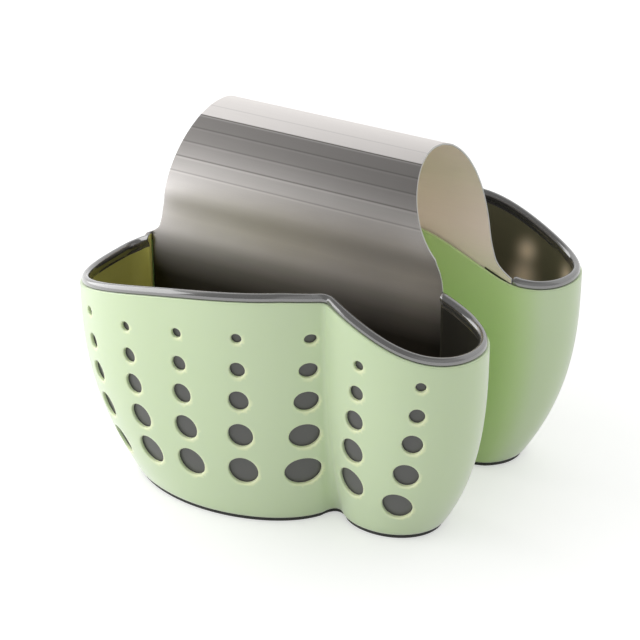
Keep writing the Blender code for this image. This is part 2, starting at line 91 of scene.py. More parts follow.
TIP_RIGHT = 0.0760
SWEEP = 0.0041
SWEEP_START = 0.0700
SWEEP_RUN = 0.0070
SEAT_LEFT = 0.0845
SEAT_RIGHT = 0.0632
LEG_END_LEFT = 0.0500
LEG_END_RIGHT = 0.0400
LEG_END_Z = 0.0300
NOTCH_Z = 0.0560
LEG_STRAIGHT_Z = NOTCH_Z + 0.0080
SCREW_X = (-0.0440, -0.0050, 0.0340)
SCREW_Z = 0.0420
SHAFT_RADIUS = 0.0013
HEAD_RADIUS = 0.0055
HEAD_HEIGHT = 0.0018
SOCKET_RADIUS = 0.0016
SOCKET_DEPTH = 0.0010
BOSS_RADIUS = 0.0035
BOSS_SKIN = 0.0008
HOLE_ROWS = (0.852, 0.718, 0.581, 0.421, 0.246)
LEFT_COLUMNS = 3
BIG_COLUMN = 0.1627
BIG_PITCH = 0.0275
BIG_PITCH_FOOT = 0.0238
VALLEY_PITCH = 0.0316
VALLEY_STRETCH = 1.25
SMALL_COLUMN = 0.2184
SMALL_COLUMN_FOOT = 0.2096
SMALL_PITCH = 0.0266
END_SPREAD = 1.13
HOLE_WIDTH = 0.0044
HOLE_WIDTH_GROWTH = 0.00210
HOLE_HEIGHT = 0.0042
HOLE_HEIGHT_GROWTH = 0.00255
DRAIN_RADIUS = 0.0030
DRAIN_PITCH = 0.0240
DRAINS_BIG = 3

SHELL_BASE = PAD_THICKNESS + FIT
FLOOR_TOP = SHELL_BASE + FLOOR
LINER_BASE = FLOOR_TOP + FIT
LINER_FLOOR_TOP = LINER_BASE + LINER_FLOOR

# Fineness of the shown surfaces
BACK_STEPS = 46
CORNER_STEPS = 8
BIG_STEPS = 132
VALLEY_STEPS = 8
SMALL_STEPS = 84
END_STEPS = 8
WALL_ROWS = 72
LINER_ROWS = 60
HOLE_SIDES = 32
DRAIN_SIDES = 28
BORE_SIDES = 32
SCREW_SIDES = 48
BAND_ROWS = 150
BAND_COLUMNS = 40
RIM_LINE_STEPS = 17
SOLVE_STEPS = 9                # of the search for a hole's ring on the wall
PROBE = (0.05, 0.0005)         # its trial steps along the wall and up it
LONGEST_STEP = (4.0, 0.05)

# Small roundings and margins of the shown surfaces
EDGE_ROUNDING = 0.00055        # of a shell's rim and holes
LINER_ROUNDING = 0.0008        # of a liner's floor, inside and outside
PAD_ROUNDING = 0.0003
EDGE_CHAMFER = 0.00012         # of the band
TURNED_EDGE = 0.0001           # of a screw
BOSS_CHAMFER = 0.0002
HOLE_MARGIN = 0.0011           # of plain wall round a hole, before the grid starts
HOLE_MARGIN_INSIDE = 0.0005
FOOT_EDGE = ((0.0001, 0.0004), (0.0003, 0.00012), (0.0007, 0.0))   # insets and heights
FLOOR_EDGE = ((0.0, 0.0004), (0.0002, 0.0001), (0.0007, 0.0))
BEAD_EDGE = ((0.00008, 0.00005), (0.0, 0.0002))
BEAD_FADE = 0.0030             # the bead's inner face runs out over this height
GLOW_SHIFT = 0.0040            # of the light behind a hole, along the wall
GLOW_SPREAD_WIDE, GLOW_SPREAD_HIGH = 0.0020, 0.0030


# Outline of a basket: x, and the depth d away from the flat wall at the divider

def lobe_point(lobe, angle):
    cx, cd, half_length, half_depth, power = lobe
    c, s = math.cos(angle), math.sin(angle)
    x = cx + half_length * math.copysign(abs(c) ** (2 / power), c)
    d = cd + half_depth * math.copysign(abs(s) ** (2 / power), s)
    return np.array((x, d))


def inside_lobe(lobe, point):
    cx, cd, half_length, half_depth, power = lobe
    along = abs((point[0] - cx) / half_length) ** power
    across = abs((point[1] - cd) / half_depth) ** power
    return along + across < 1.0


def switch_angle(test, start, end):
    first = test(start)
    for _ in range(40):
        middle = 0.5 * (start + end)
        if test(middle) == first:
            start = middle
        else:
            end = middle
    return 0.5 * (start + end)


def angle_at_reach(lobe, point, reach, start, end):
    return switch_angle(lambda a: np.hypot(*(lobe_point(lobe, a) - point)) < reach, start, end)


def straight(start, end, steps):
    t = np.linspace(0.0, 1.0, steps + 1)[:-1, None]
    return (1 - t) * start + t * end


def rounded(before, corner, after, steps):
    t = np.linspace(0.0, 1.0, steps + 1)[:-1, None]
    return (1 - t) ** 2 * before + 2 * t * (1 - t) * corner + t * t * after


def lobe_arc(lobe, start, end, steps):
    return np.array([lobe_point(lobe, a) for a in np.linspace(start, end, steps + 1)[:-1]])


def outline(big, small, corner_reach, valley_reach, end_reach):
    quarter = 0.5 * math.pi
    back = switch_angle(lambda a: lobe_point(big, a)[1] > 0.0, 2 * quarter, 3 * quarter)
    corner = lobe_point(big, back)
    big_start = angle_at_reach(big, corner, corner_reach, back, quarter)
    big_cross = switch_angle(lambda a: inside_lobe(small, lobe_point(big, a)), quarter, 0.0)
    small_cross = switch_angle(
        lambda a: inside_lobe(big, lobe_point(small, a)), quarter, 2 * quarter)
    valley = 0.5 * (lobe_point(big, big_cross) + lobe_point(small, small_cross))
    big_end = angle_at_reach(big, valley, valley_reach, big_cross, quarter)
    small_start = angle_at_reach(small, valley, valley_reach, small_cross, 0.0)
    front_end = switch_angle(lambda a: lobe_point(small, a)[1] > 0.0, 0.0, -quarter)
    end = lobe_point(small, front_end)
    small_end = angle_at_reach(small, end, end_reach, front_end, 0.0)
    back_left = np.array((corner[0] + corner_reach, 0.0))
    back_right = np.array((end[0] - end_reach, 0.0))
    middle = 0.5 * (back_left + back_right)
    return np.concatenate((
        straight(middle, back_left, BACK_STEPS),
        rounded(back_left, corner, lobe_point(big, big_start), CORNER_STEPS),
        lobe_arc(big, big_start, big_end, BIG_STEPS),
        rounded(lobe_point(big, big_end), valley, lobe_point(small, small_start), VALLEY_STEPS),
        lobe_arc(small, small_start, small_end, SMALL_STEPS),
        rounded(lobe_point(small, small_end), end, back_right, END_STEPS),
        straight(back_right, middle, BACK_STEPS),
    ))


def rim_height(x):
    left = np.maximum(0.0, (CREST_LEFT_X - x) / (CREST_LEFT_X + RIM_END_X))
    right = np.clip((x - CREST_RIGHT_X) / (RIM_END_X - CREST_RIGHT_X), 0.0, 1.0)
    return RIM_CREST - np.maximum(RIM_DROP_LEFT * left ** 2,
                                  RIM_DROP_RIGHT * (1 - np.cos(math.pi * right)) / 2)


def turned_by(curve):
    """Central differences round a closed curve."""
    return (np.roll(curve, -1, axis=0) - np.roll(curve, 1, axis=0)) / 2


def closed(curve):
    return np.concatenate((curve, curve[:1]))


RIM = outline(RIM_BIG, RIM_SMALL, CORNER_REACH, VALLEY_REACH, END_REACH)
FOOT = outline(FOOT_BIG, FOOT_SMALL, FOOT_CORNER_REACH, FOOT_VALLEY_REACH, END_REACH)
COUNT = len(RIM)
STATIONS = np.arange(COUNT)
RIM_TURN, FOOT_TURN = closed(turned_by(RIM)), closed(turned_by(FOOT))
RIM, FOOT = closed(RIM), closed(FOOT)
RUN = np.concatenate(((0.0,), np.cumsum(np.linalg.norm(np.diff(RIM, axis=0), axis=1))))


def at_station(curve, station):
    first = np.clip(station.astype(int), 0, COUNT - 1)
    share = (station - first)[..., None]
    return (1 - share) * curve[first] + share * curve[first + 1]


def wall_at(station, level, inset=0.0, lift=0.0):
    """Points of a basket's wall in the front half space."""
    station = np.asarray(station, dtype=float)
    level, inset, lift = (np.broadcast_to(v, station.shape) for v in (level, inset, lift))
    rise = (1 - (1 - level) ** WALL_CURVE)[..., None]
    rim, foot = at_station(RIM, station), at_station(FOOT, station)
    flat = foot + (rim - foot) * rise
    along = at_station(FOOT_TURN, station) * (1 - rise) + at_station(RIM_TURN, station) * rise
    along /= np.linalg.norm(along, axis=-1)[..., None]
    x = flat[..., 0] + inset * along[..., 1]
    d = flat[..., 1] - inset * along[..., 0]
    back = GAP_HALF + (GAP_HALF_FOOT - GAP_HALF) * (1 - level) ** GAP_CURVE
    z = SHELL_BASE + (rim_height(rim[..., 0]) - SHELL_BASE) * level + lift
    return np.stack((x, -(back + d), z), axis=-1)


RIM_Z = rim_height(RIM[:-1, 0])


def ring(level, inset=0.0, lift=0.0):
    return wall_at(STATIONS, level, inset, lift)


def level_at(z):
    return (z - SHELL_BASE) / (RIM_Z - SHELL_BASE)


# Mesh building

class Build:
    """Points and faces of one piece, collected bit by bit."""

    def __init__(self):
        self.points, self.faces, self.count = [], [], 0

    def add(self, points):
        start = self.count
        self.points.append(np.asarray(points, dtype=float).reshape(-1, 3))
        self.count += len(self.points[-1])
        return np.arange(start, self.count)

    def face(self, *corners):
        self.faces.append(tuple(int(i) for i in corners))

    def strip(self, low, high):
        """Quads between two closed rings; low to high with the skin's outside to the right."""
        for i in range(len(low)):
            j = (i + 1) % len(low)
            self.face(low[i], low[j], high[j], high[i])

    def rings(self, rings):
        """Skin through rings of points; returns the first and last ring's indices."""
        before = first = self.add(rings[0])
        for points in rings[1:]:
            after = self.add(points)
            self.strip(before, after)
            before = after
        return first, before

    def mirror(self, side):
        """Turns what is built in the front half space to the rear for side +1."""
        if side > 0:
            self.points = [p * (1.0, -1.0, 1.0) for p in self.points]
            self.faces = [(f[0], *f[:0:-1]) for f in self.faces]
        return self

    def object(self, name, materials, smooth=40):
        mesh = bpy.data.meshes.new(name)
        mesh.from_pydata(np.concatenate(self.points).tolist(), [], self.faces)
        mesh.shade_smooth()
        mesh.set_sharp_from_angle(angle=math.radians(smooth))
        for material in materials:
            mesh.materials.append(material)
        thing = bpy.data.objects.new(name, mesh)
        bpy.context.scene.collection.objects.link(thing)
        return thing


def triangles(flat, loops):
    """Delaunay triangles of flat points, with the loops of indices kept as edges."""
    edges = [(int(loop[i]), int(loop[(i + 1) % len(loop)]))
             for loop in loops for i in range(len(loop))]
    _, _, faces, origin, _, _ = delaunay_2d_cdt(
        [Vector(p) for p in flat.tolist()], edges, [], 0, 1e-7)
    if any(len(o) == 0 for o in origin):
        raise RuntimeError("the loops of a patch cross")
    return [tuple(origin[i][0] for i in face) for face in faces]


def inside_loop(points, loop):
    """Which points lie inside a polygon."""
    x, y = points[:, 0][:, None], points[:, 1][:, None]
    ax, ay = loop[:, 0], loop[:, 1]
    bx, by = np.roll(ax, -1), np.roll(ay, -1)
    with np.errstate(divide="ignore", invalid="ignore"):
        cross = ((ay > y) != (by > y)) & (x < (bx - ax) * (y - ay) / (by - ay) + ax)
    return cross.sum(axis=1) % 2 == 1


def fill_floor(build, edge, edge_points, holes, hole_points, up):
    """Level patch inside an edge ring, with round holes left out."""
    flat = np.concatenate([edge_points] + hole_points)[:, :2] * 1000
    index = np.concatenate([edge] + holes)
    loops, start = [np.arange(len(edge))], len(edge)
    owner = np.full(len(flat), -1)
    for k, hole in enumerate(holes):
        loops.append(np.arange(start, start + len(hole)))
        owner[start:start + len(hole)] = k
        start += len(hole)
    faces = np.array([f for f in triangles(flat, loops) if len(f) == 3])
    middle = flat[faces].mean(axis=1)
    kept = inside_loop(middle, flat[:len(edge)])
    same = (owner[faces[:, 0]] == owner[faces[:, 1]]) & (owner[faces[:, 1]] == owner[faces[:, 2]])
    kept &= ~(same & (owner[faces[:, 0]] >= 0))
    for a, b, c in index[faces[kept]]:
        build.face(*((a, b, c) if up else (a, c, b)))


def turned(x, profile, sides):
    """Rings about a line along the depth, from (distance from the middle, radius)."""
    turn = 2 * math.pi * np.arange(sides) / sides
    return [np.stack((x + r * np.cos(turn), np.full(sides, -y), SCREW_Z - r * np.sin(turn)), axis=1)
            for y, r in profile]


def add_turned(build, x, profile, sides=BORE_SIDES):
    first, last = build.rings(turned(x, profile, sides))
    build.face(*first[::-1])
    build.face(*last)


# Holes

def drain_places():
    middle = -(GAP_HALF_FOOT + FOOT_BIG[1])
    first = FOOT_BIG[0] - DRAIN_PITCH * (DRAINS_BIG - 1) / 2
    places = [(first + k * DRAIN_PITCH, middle) for k in range(DRAINS_BIG)]
    return places + [(FOOT_SMALL[0], -(GAP_HALF_FOOT + FOOT_SMALL[1]))]


def drain_ring(place, z):
    turn = 2 * math.pi * np.arange(DRAIN_SIDES) / DRAIN_SIDES
    return np.stack((place[0] + DRAIN_RADIUS * np.cos(turn),
                     place[1] + DRAIN_RADIUS * np.sin(turn), np.full(DRAIN_SIDES, z)), axis=1)


def pierced_floor(build, low, low_points, high, high_points, low_z, high_z):
    """Both faces of a floor and the walls of its drain holes."""
    below = [drain_ring(p, low_z) for p in drain_places()]
    above = [drain_ring(p, high_z) for p in drain_places()]
    lows, highs = [build.add(r) for r in below], [build.add(r) for r in above]
    fill_floor(build, low, low_points, lows, below, False)
    fill_floor(build, high, high_points, highs, above, True)
    for some, others in zip(lows, highs):
        build.strip(some[::-1], others[::-1])


def hole_list():
    """Distance along the rim from the corner, level, width and height of each oval hole."""
    holes = []
    middle = HOLE_ROWS[len(HOLE_ROWS) // 2]
    for row, level in enumerate(HOLE_ROWS):
        pitch = BIG_PITCH_FOOT + (BIG_PITCH - BIG_PITCH_FOOT) * level
        valley_pitch = BIG_PITCH_FOOT + (VALLEY_PITCH - BIG_PITCH_FOOT) * level
        small_first = SMALL_COLUMN_FOOT + (SMALL_COLUMN - SMALL_COLUMN_FOOT) * level
        columns = [BIG_COLUMN - k * pitch for k in range(LEFT_COLUMNS, -1, -1)]
        columns += [BIG_COLUMN + valley_pitch, small_first, small_first + SMALL_PITCH]
        for k, distance in enumerate(columns):
            spread = END_SPREAD if k in (0, len(columns) - 1) else 1.0
            stretch = VALLEY_STRETCH if k == LEFT_COLUMNS + 1 else 1.0
            holes.append((distance, middle + (level - middle) * spread,
                          stretch * (HOLE_WIDTH + row * HOLE_WIDTH_GROWTH),
                          HOLE_HEIGHT + row * HOLE_HEIGHT_GROWTH))
    return holes


class Oval:
    """One oval hole: its middle on the wall and its three directions."""

    def __init__(self, distance, level, width, height):
        self.station = float(np.interp(distance + RUN[BACK_STEPS], RUN, np.arange(COUNT + 1)))
        self.level = level
        s, v = np.array([self.station]), level
        self.middle = wall_at(s, v)[0]
        side = (wall_at(s + 1.0, v) - wall_at(s - 1.0, v))[0]
        up = (wall_at(s, v + 0.01) - wall_at(s, v - 0.01))[0]
        self.side = side / np.linalg.norm(side)
        out = np.cross(side, up)
        self.out = out / np.linalg.norm(out)
        self.up = np.cross(self.out, self.side)
        self.half = np.array((width / 2, height / 2))

    def on_wall(self, grow, inset):
        """Stations and levels of the ring on the wall, grown by some distance."""
        turn = 2 * math.pi * np.arange(HOLE_SIDES) / HOLE_SIDES
        goal = np.stack((np.cos(turn), np.sin(turn)), axis=1) * (self.half + grow)
        place = np.tile((self.station, self.level), (HOLE_SIDES, 1))
        frame_axes = np.stack((self.side, self.up), axis=1)

        def flat(p):
            return (wall_at(p[:, 0], p[:, 1], inset) - self.middle) @ frame_axes

        for _ in range(SOLVE_STEPS):
            here = flat(place)
            ds = (flat(place + (PROBE[0], 0.0)) - here) / PROBE[0]
            dv = (flat(place + (0.0, PROBE[1])) - here) / PROBE[1]
            miss = goal - here
            det = ds[:, 0] * dv[:, 1] - ds[:, 1] * dv[:, 0]
            step = np.stack(((miss[:, 0] * dv[:, 1] - miss[:, 1] * dv[:, 0]) / det,
                             (ds[:, 0] * miss[:, 1] - ds[:, 1] * miss[:, 0]) / det), axis=1)
            place = place + np.clip(step, np.negative(LONGEST_STEP), LONGEST_STEP)
        return place


OVALS = [Oval(*hole) for hole in hole_list()]
SHEET_LEVELS = np.concatenate(((0.008,), np.linspace(0.02, 0.9955, WALL_ROWS)))


def pierced_sheet(build, grid, levels, inset, rings, outside):
    """Faces of a wall sheet on a grid of points, with the oval rings left out."""
    taken = np.zeros((len(levels) - 1, COUNT), dtype=bool)
    for oval, (place, index) in zip(OVALS, rings):
        s0, s1 = int(place[:, 0].min()) - 1, int(place[:, 0].max()) + 2
        v0 = int(np.searchsorted(levels, place[:, 1].min())) - 2
        v1 = int(np.searchsorted(levels, place[:, 1].max())) + 1
        taken[v0:v1, s0:s1] = True
        rows, columns = np.mgrid[v0:v1 + 1, s0:s1 + 1]
        spots = wall_at(columns.ravel(), levels[rows.ravel()], inset) - oval.middle
        clear = oval.half + (HOLE_MARGIN if outside else HOLE_MARGIN_INSIDE)
        away = np.hypot(*(spots @ np.stack((oval.side, oval.up), axis=1) / clear).T)
        border = ((rows == v0) | (rows == v1) | (columns == s0) | (columns == s1)).ravel()
        kept = border | (away > 1.0)
        number = np.full(rows.size, -1)
        number[kept] = np.arange(kept.sum())
        number = number.reshape(rows.shape)
        loop = np.concatenate((number[0, :-1], number[:-1, -1],
                               number[-1, :0:-1], number[:0:-1, 0]))
        flat = np.stack((np.interp(columns.ravel()[kept], np.arange(COUNT + 1), RUN),
                         levels[rows.ravel()[kept]] * RIM_CREST), axis=1)
        hole = np.stack((np.interp(place[:, 0], np.arange(COUNT + 1), RUN),
                         place[:, 1] * RIM_CREST), axis=1)
        total = int(kept.sum())
        ids = np.concatenate((grid[rows.ravel()[kept], columns.ravel()[kept]], index))
        faces = triangles(np.concatenate((flat, hole)) * 1000,
                          [loop, np.arange(total, total + len(hole))])
        for f in faces:
            if min(f) >= total:
                continue
            corners = ids[list(f)]
            build.face(*(corners if outside else corners[::-1]))
    for k in range(len(levels) - 1):
        for i in range(COUNT):
            if not taken[k, i]:
                j = (i + 1) % COUNT
                quad = (grid[k, i], grid[k, j], grid[k + 1, j], grid[k + 1, i])
                build.face(*(quad if outside else quad[::-1]))


# Pieces

def make_shell(name, side, material):
    build = Build()
    outer = np.array([build.add(ring(v)) for v in SHEET_LEVELS])
    inner_base = level_at(FLOOR_TOP)
    inner_levels = np.concatenate(((0.03,), SHEET_LEVELS[3:]))
    inner = np.array([build.add(ring(v, WALL)) for v in inner_levels])
    r = EDGE_ROUNDING

    outer_rings, inner_rings = [], []
    lips_from = build.count
    for oval in OVALS:
        index = None
        for k in range(4):
            turn = 0.5 * math.pi * k / 3
            place = oval.on_wall(r * (1 - math.sin(turn)), 0.0)
            points = wall_at(place[:, 0], place[:, 1]) - oval.out * r * (1 - math.cos(turn))
            deeper = build.add(points)
            if index is None:
                outer_rings.append((place, deeper))
            else:
                build.strip(index, deeper)
            index = deeper
        place = oval.on_wall(0.0, WALL)
        last = build.add(wall_at(place[:, 0], place[:, 1], WALL))
        build.strip(index, last)
        inner_rings.append((place, last))
    lips_to = build.count
    pierced_sheet(build, outer, SHEET_LEVELS, 0.0, outer_rings, True)
    pierced_sheet(build, inner, inner_levels, WALL, inner_rings, False)

    top = [(r * (1 - math.cos(t)), -r * (1 - math.sin(t)))
           for t in np.linspace(0.0, 0.5 * math.pi, 5)]
    top += [(WALL - 0.0002, 0.0), (WALL, -0.0002)]
    before = outer[-1]
    for inset, lift in top:
        after = build.add(ring(1.0, inset, lift))
        build.strip(before, after)
        before = after
    build.strip(before, inner[-1])

    before = outer[0]
    for inset, z in FOOT_EDGE:
        points = ring(0.0, inset, z)
        after = build.add(points)
        build.strip(after, before)
        before = after
    low, low_points = before, points
    before = inner[0]
    for inset, z in FLOOR_EDGE:
        points = ring(inner_base, WALL + inset, z)
        after = build.add(points)
        build.strip(before, after)
        before = after
    pierced_floor(build, low, low_points, before, points, SHELL_BASE, FLOOR_TOP)

    root, end = GAP_HALF + WALL / 2, LINER_FACE_Y - FIT
    bore = SHAFT_RADIUS + FIT
    for x in SCREW_X:
        add_turned(build, x, ((root, BOSS_RADIUS), (end - BOSS_CHAMFER, BOSS_RADIUS),
                              (end, BOSS_RADIUS - BOSS_CHAMFER), (end, bore),
                              (GAP_HALF + BOSS_SKIN, bore)))
    thing = build.mirror(side).object(name, [material])
    # Painted highlight on the rounded lip of each hole, strongest on one side of the ring, as if
    # lit from there.
    lip_highlight = np.zeros(build.count)
    turn = 2 * math.pi * (np.arange(HOLE_SIDES) / HOLE_SIDES + 1 / 8)
    lit_side_weight = 0.15 + 0.85 * np.maximum(0.0, np.cos(turn))
    lip_highlight[lips_from:lips_to] = np.tile(lit_side_weight, (lips_to - lips_from) // HOLE_SIDES)
    thing.data.attributes.new("lip_highlight", "FLOAT", "POINT").data.foreach_set("value", lip_highlight)
    return thing


def back_curve(x):
    along = np.clip((x - RIM_SMALL[0]) / RIM_SMALL[2], 0.0, 1.0)
    reach = RIM_SMALL[3] * (1 - along ** RIM_SMALL[4]) ** (1 / RIM_SMALL[4])
    return np.maximum(0.0, RIM_SMALL[1] - reach)


LEG_BACK_Y = GAP_HALF + WALL + FIT + back_curve(SEAT_RIGHT)
LEG_FRONT_Y = LEG_BACK_Y + BAND_THICKNESS
LINER_INSET = WALL + LINER_PLAY
POCKET = LEG_FRONT_Y + FIT - GAP_HALF - LINER_INSET
POCKETS = POCKET * np.clip(1 - RIM[:-1, 1] / POCKET_BLEND, 0.0, 1.0)
LINER_BACK_Y = LEG_FRONT_Y + FIT
LINER_FACE_Y = LINER_BACK_Y + LINER_WALL


def leg_edge(z, seat, end):
    share = np.clip((z - LEG_END_Z) / (LEG_STRAIGHT_Z - LEG_END_Z), 0.0, 1.0)
    return end + (seat - end) * share


TIP_LEFT = 0.0885
LEFT_STEP_Z = rim_height(-TIP_LEFT) + BEAD_RISE / 2
RIGHT_STEP_Z = rim_height(TIP_RIGHT)


def rim_line(start, end, lift):
    return [(x, rim_height(x) + lift) for x in np.linspace(start, end, RIM_LINE_STEPS)]


def side_prism(build, side_view, near, far):
    rings = [np.array([(x, -y, z) for x, z in side_view]) for y in (near, far)]
    first, last = build.rings(rings)
    build.face(*first[::-1])
    build.face(*last)


def cut(thing, build, material_index=0):
    """Takes a solid out of a piece, and leaves no modifier on it."""
    knife = build.object(thing.name + "_knife", thing.data.materials)
    for polygon in knife.data.polygons:
        polygon.material_index = material_index
    step = thing.modifiers.new("cut", "BOOLEAN")
    step.operation, step.solver, step.object = "DIFFERENCE", "EXACT", knife
    graph = bpy.context.evaluated_depsgraph_get()
    mesh = bpy.data.meshes.new_from_object(thing.evaluated_get(graph))
    old = thing.data
    thing.modifiers.clear()
    thing.data = mesh
    bpy.data.meshes.remove(old)
    spare = knife.data
    bpy.data.objects.remove(knife)
    bpy.data.meshes.remove(spare)


def tip_right(side):
    """The band's right shoulder shows on the rear basket; in front the bead covers it."""
    return TIP_RIGHT if side > 0 else SEAT_RIGHT


def liner_knife(side):
    build = Build()
    top = RIM_CREST + 2 * BEAD_RISE
    left = -leg_edge(NOTCH_Z, SEAT_LEFT, LEG_END_LEFT)
    right = leg_edge(NOTCH_Z, SEAT_RIGHT, LEG_END_RIGHT)
    tip = tip_right(side) + FIT
    view = [(left, NOTCH_Z), (right, NOTCH_Z), (SEAT_RIGHT + FIT, LEG_STRAIGHT_Z)]
    if side > 0:
        view += rim_line(SEAT_RIGHT + FIT, tip, FIT / 2)
    view += [(tip, top), (-SEAT_LEFT - FIT, top), (-SEAT_LEFT - FIT, LEG_STRAIGHT_Z)]
    far = LINER_FACE_Y + BEAD_OVERHANG + LINER_WALL + back_curve(TIP_RIGHT)
    side_prism(build, view, GAP_HALF / 2, far)
    for x in SCREW_X:
        add_turned(build, x, ((LINER_FACE_Y + WALL, BOSS_RADIUS + FIT),
                              (GAP_HALF + WALL / 2, BOSS_RADIUS + FIT)))
    return build.mirror(side)


def light_through(points):
    """Where light comes through the oval holes and shows in the liner's wall."""
    glow = np.zeros(len(points))
    for oval in OVALS:
        away = points - (oval.middle - 2 * LINER_WALL * oval.out + GLOW_SHIFT * oval.side)
        across = (away @ oval.side) / (oval.half[0] + GLOW_SPREAD_WIDE)
        along = (away @ oval.up) / (oval.half[1] + GLOW_SPREAD_HIGH)
        near = np.abs(away @ oval.out) < 2 * LINER_WALL
        glow += near * np.exp(-(across ** 2 + along ** 2))
    return np.minimum(glow, 1.0)


def make_liner(name, side, materials):
    outer = LINER_INSET + POCKETS
    inner = outer + LINER_WALL
    build = Build()
    r = LINER_ROUNDING
    base, floor = level_at(LINER_BASE), level_at(LINER_FLOOR_TOP)
    rings = [ring(base, outer + r, 0.0), ring(base, outer + r * 0.3, r * 0.3)]
    rings += [ring(base + (1 - base) * t, outer) for t in np.linspace(0.01, 0.999, LINER_ROWS)]
    low_points = rings[0]

    bead_from = len(rings) * COUNT
    bead_out, bead_in = np.full(COUNT, BEAD_INSET), inner + BEAD_OVERHANG
    rings.append(ring(1.0, outer, FIT))
    rings.append(ring(1.0, outer * 0.3 + bead_out * 0.7, FIT))
    rings += [ring(1.0, bead_out + inset, FIT + lift) for inset, lift in BEAD_EDGE]
    middle, half = (bead_out + bead_in) / 2, (bead_in - bead_out) / 2
    for turn in np.linspace(0.0, math.pi, 25):
        lift = FIT + BEAD_SIDE + (BEAD_RISE - FIT - BEAD_SIDE) * math.sin(turn)
        rings.append(ring(1.0, middle - half * math.cos(turn), lift))
    for drop in np.linspace(0.0, 1.0, 7)[1:]:
        ease = drop * drop * (3 - 2 * drop)
        rings.append(ring(1.0, bead_in - BEAD_OVERHANG * ease, FIT + BEAD_SIDE - BEAD_FADE * drop))
    inside_from = len(rings) * COUNT
    start = 1 - 0.0025 / (RIM_Z - SHELL_BASE)
    low = floor + r / (RIM_Z - SHELL_BASE)
    rings += [ring(start + (low - start) * t, inner) for t in np.linspace(0.0, 1.0, LINER_ROWS)]
    for turn in np.linspace(0.0, 0.5 * math.pi, 5)[1:]:
        rings.append(ring(floor, inner + r * (1 - math.cos(turn)), r * (1 - math.sin(turn))))
    first, last = build.rings(rings)
    pierced_floor(build, first, low_points, last, rings[-1], LINER_BASE, LINER_FLOOR_TOP)
    light = light_through(np.concatenate(build.points))
    thing = build.mirror(side).object(name, materials)
    mesh = thing.data
    for polygon in mesh.polygons:
        first = min(polygon.vertices)
        polygon.material_index = 1 if first >= inside_from else 2 if first >= bead_from else 0
    # Painted light: where light through the oval holes would show on the liner's inner face.
    glow = mesh.attributes.new("glow", "FLOAT", "POINT")
    glow.data.foreach_set("value", light)
    cut(thing, liner_knife(side), 1)
    return thing


def make_pad(name, side, material):
    build = Build()
    r = PAD_ROUNDING
    rings = [ring(0.0, PAD_INSET + i) * (1, 1, 0) + (0, 0, z)
             for i, z in ((r, 0.0), (r * 0.3, r * 0.3), (0.0, r), (0.0, PAD_THICKNESS - r),
                          (r * 0.3, PAD_THICKNESS - r * 0.3), (r, PAD_THICKNESS))]
    first, last = build.rings(rings)
    pierced_floor(build, first, rings[0], last, rings[-1], 0.0, PAD_THICKNESS)
    return build.mirror(side).object(name, [material])


def make_screw(name, side, x, material):
    build = Build()
    under = LINER_FACE_Y + FIT
    top = under + HEAD_HEIGHT
    flat = SOCKET_RADIUS * 1.25
    dome = [(under + HEAD_HEIGHT * (0.35 + 0.65 * math.sin(t)),
             flat + (HEAD_RADIUS - flat) * math.cos(t))
            for t in np.linspace(0.5 * math.pi, 0.0, 9)]
    profile = [(top - SOCKET_DEPTH - 0.0003, 0.0004), (top - SOCKET_DEPTH, SOCKET_RADIUS),
               (top - TURNED_EDGE, SOCKET_RADIUS)] + dome
    profile += [(under + TURNED_EDGE, HEAD_RADIUS), (under, HEAD_RADIUS - TURNED_EDGE),
                (under, SHAFT_RADIUS), (GAP_HALF + BOSS_SKIN + FIT, SHAFT_RADIUS)]
    add_turned(build, x, profile, SCREW_SIDES)
    return build.mirror(side).object(name, [material])


# Band

BEND_PITCH = 0.00675
BENDS = (0.05, 0.10, 0.03, 0.03, 0.06, 0.06)
BEND_ROWS = np.linspace(-0.0009, 0.0018, 28)    # close rows of points about each bend
GROOVE_DEPTH, GROOVE_WIDTH = 0.000015, 0.0003
# Each bend gets a painted dark line and a painted highlight beside it.
DARK_LINE, LIGHT_LINE = 3.2, 1.6                # how much a bend's two lines change the tone
LIGHT_LINE_SHIFT, LIGHT_LINE_WIDTH = 2.4 * GROOVE_WIDTH, 1.3 * GROOVE_WIDTH

# The left edge's shoulder, by the run from the top, and the front's flare on the right
SHOULDER_START, SHOULDER_SLOPE = 0.0650, 0.355
SHOULDER_CURL, SHOULDER_CURVE = 0.0745, 158.0
FLARE_RIGHT_FRONT = 0.0340


def bend_swell(run):
    """How far the sheet stands out where the press has bent it in small steps."""
    swell = 0.0
    for k, angle in enumerate(BENDS):
        away = abs(run - BEND_PITCH * (k + 1))
        swell += angle * BEND_PITCH / 4 * max(0.0, 1 - away / BEND_PITCH) ** 2
        swell -= GROOVE_DEPTH * angle / 0.1 * math.exp(-(away / GROOVE_WIDTH) ** 2)
    return swell


# Painted reflection and shade along the run from the top: 1 gives the bright steel of a reflection,
# 0 the dark steel of shade.
PAINTED_LIGHT_BY_RUN = ((0.0, 1.0), (0.0134, 1.0), (0.0136, 0.27), (0.026, 0.26), (0.032, 0.33), (0.038, 0.46),
         (0.044, 0.68), (0.050, 0.96), (0.068, 1.0), (0.074, 0.77), (0.080, 0.44), (0.088, 0.17),
         (0.098, 0.0), (0.150, 0.0))


def band_painted_light(run):
    """Painted light on the rolled sheet: a painted reflection bright on the crown and the
    shoulders, painted shade darker between them and down the legs, and at each bend a painted dark
    line with a painted highlight beside it.
    """
    run = abs(run)
    tone = float(np.interp(run, *zip(*PAINTED_LIGHT_BY_RUN)))
    for k, angle in enumerate(BENDS):
        away = run - BEND_PITCH * (k + 1)
        tone -= DARK_LINE * angle * math.exp(-(away / GROOVE_WIDTH) ** 2)
        tone += LIGHT_LINE * angle * math.exp(-((away - LIGHT_LINE_SHIFT) / LIGHT_LINE_WIDTH) ** 2)
    return min(1.0, max(0.0, tone))


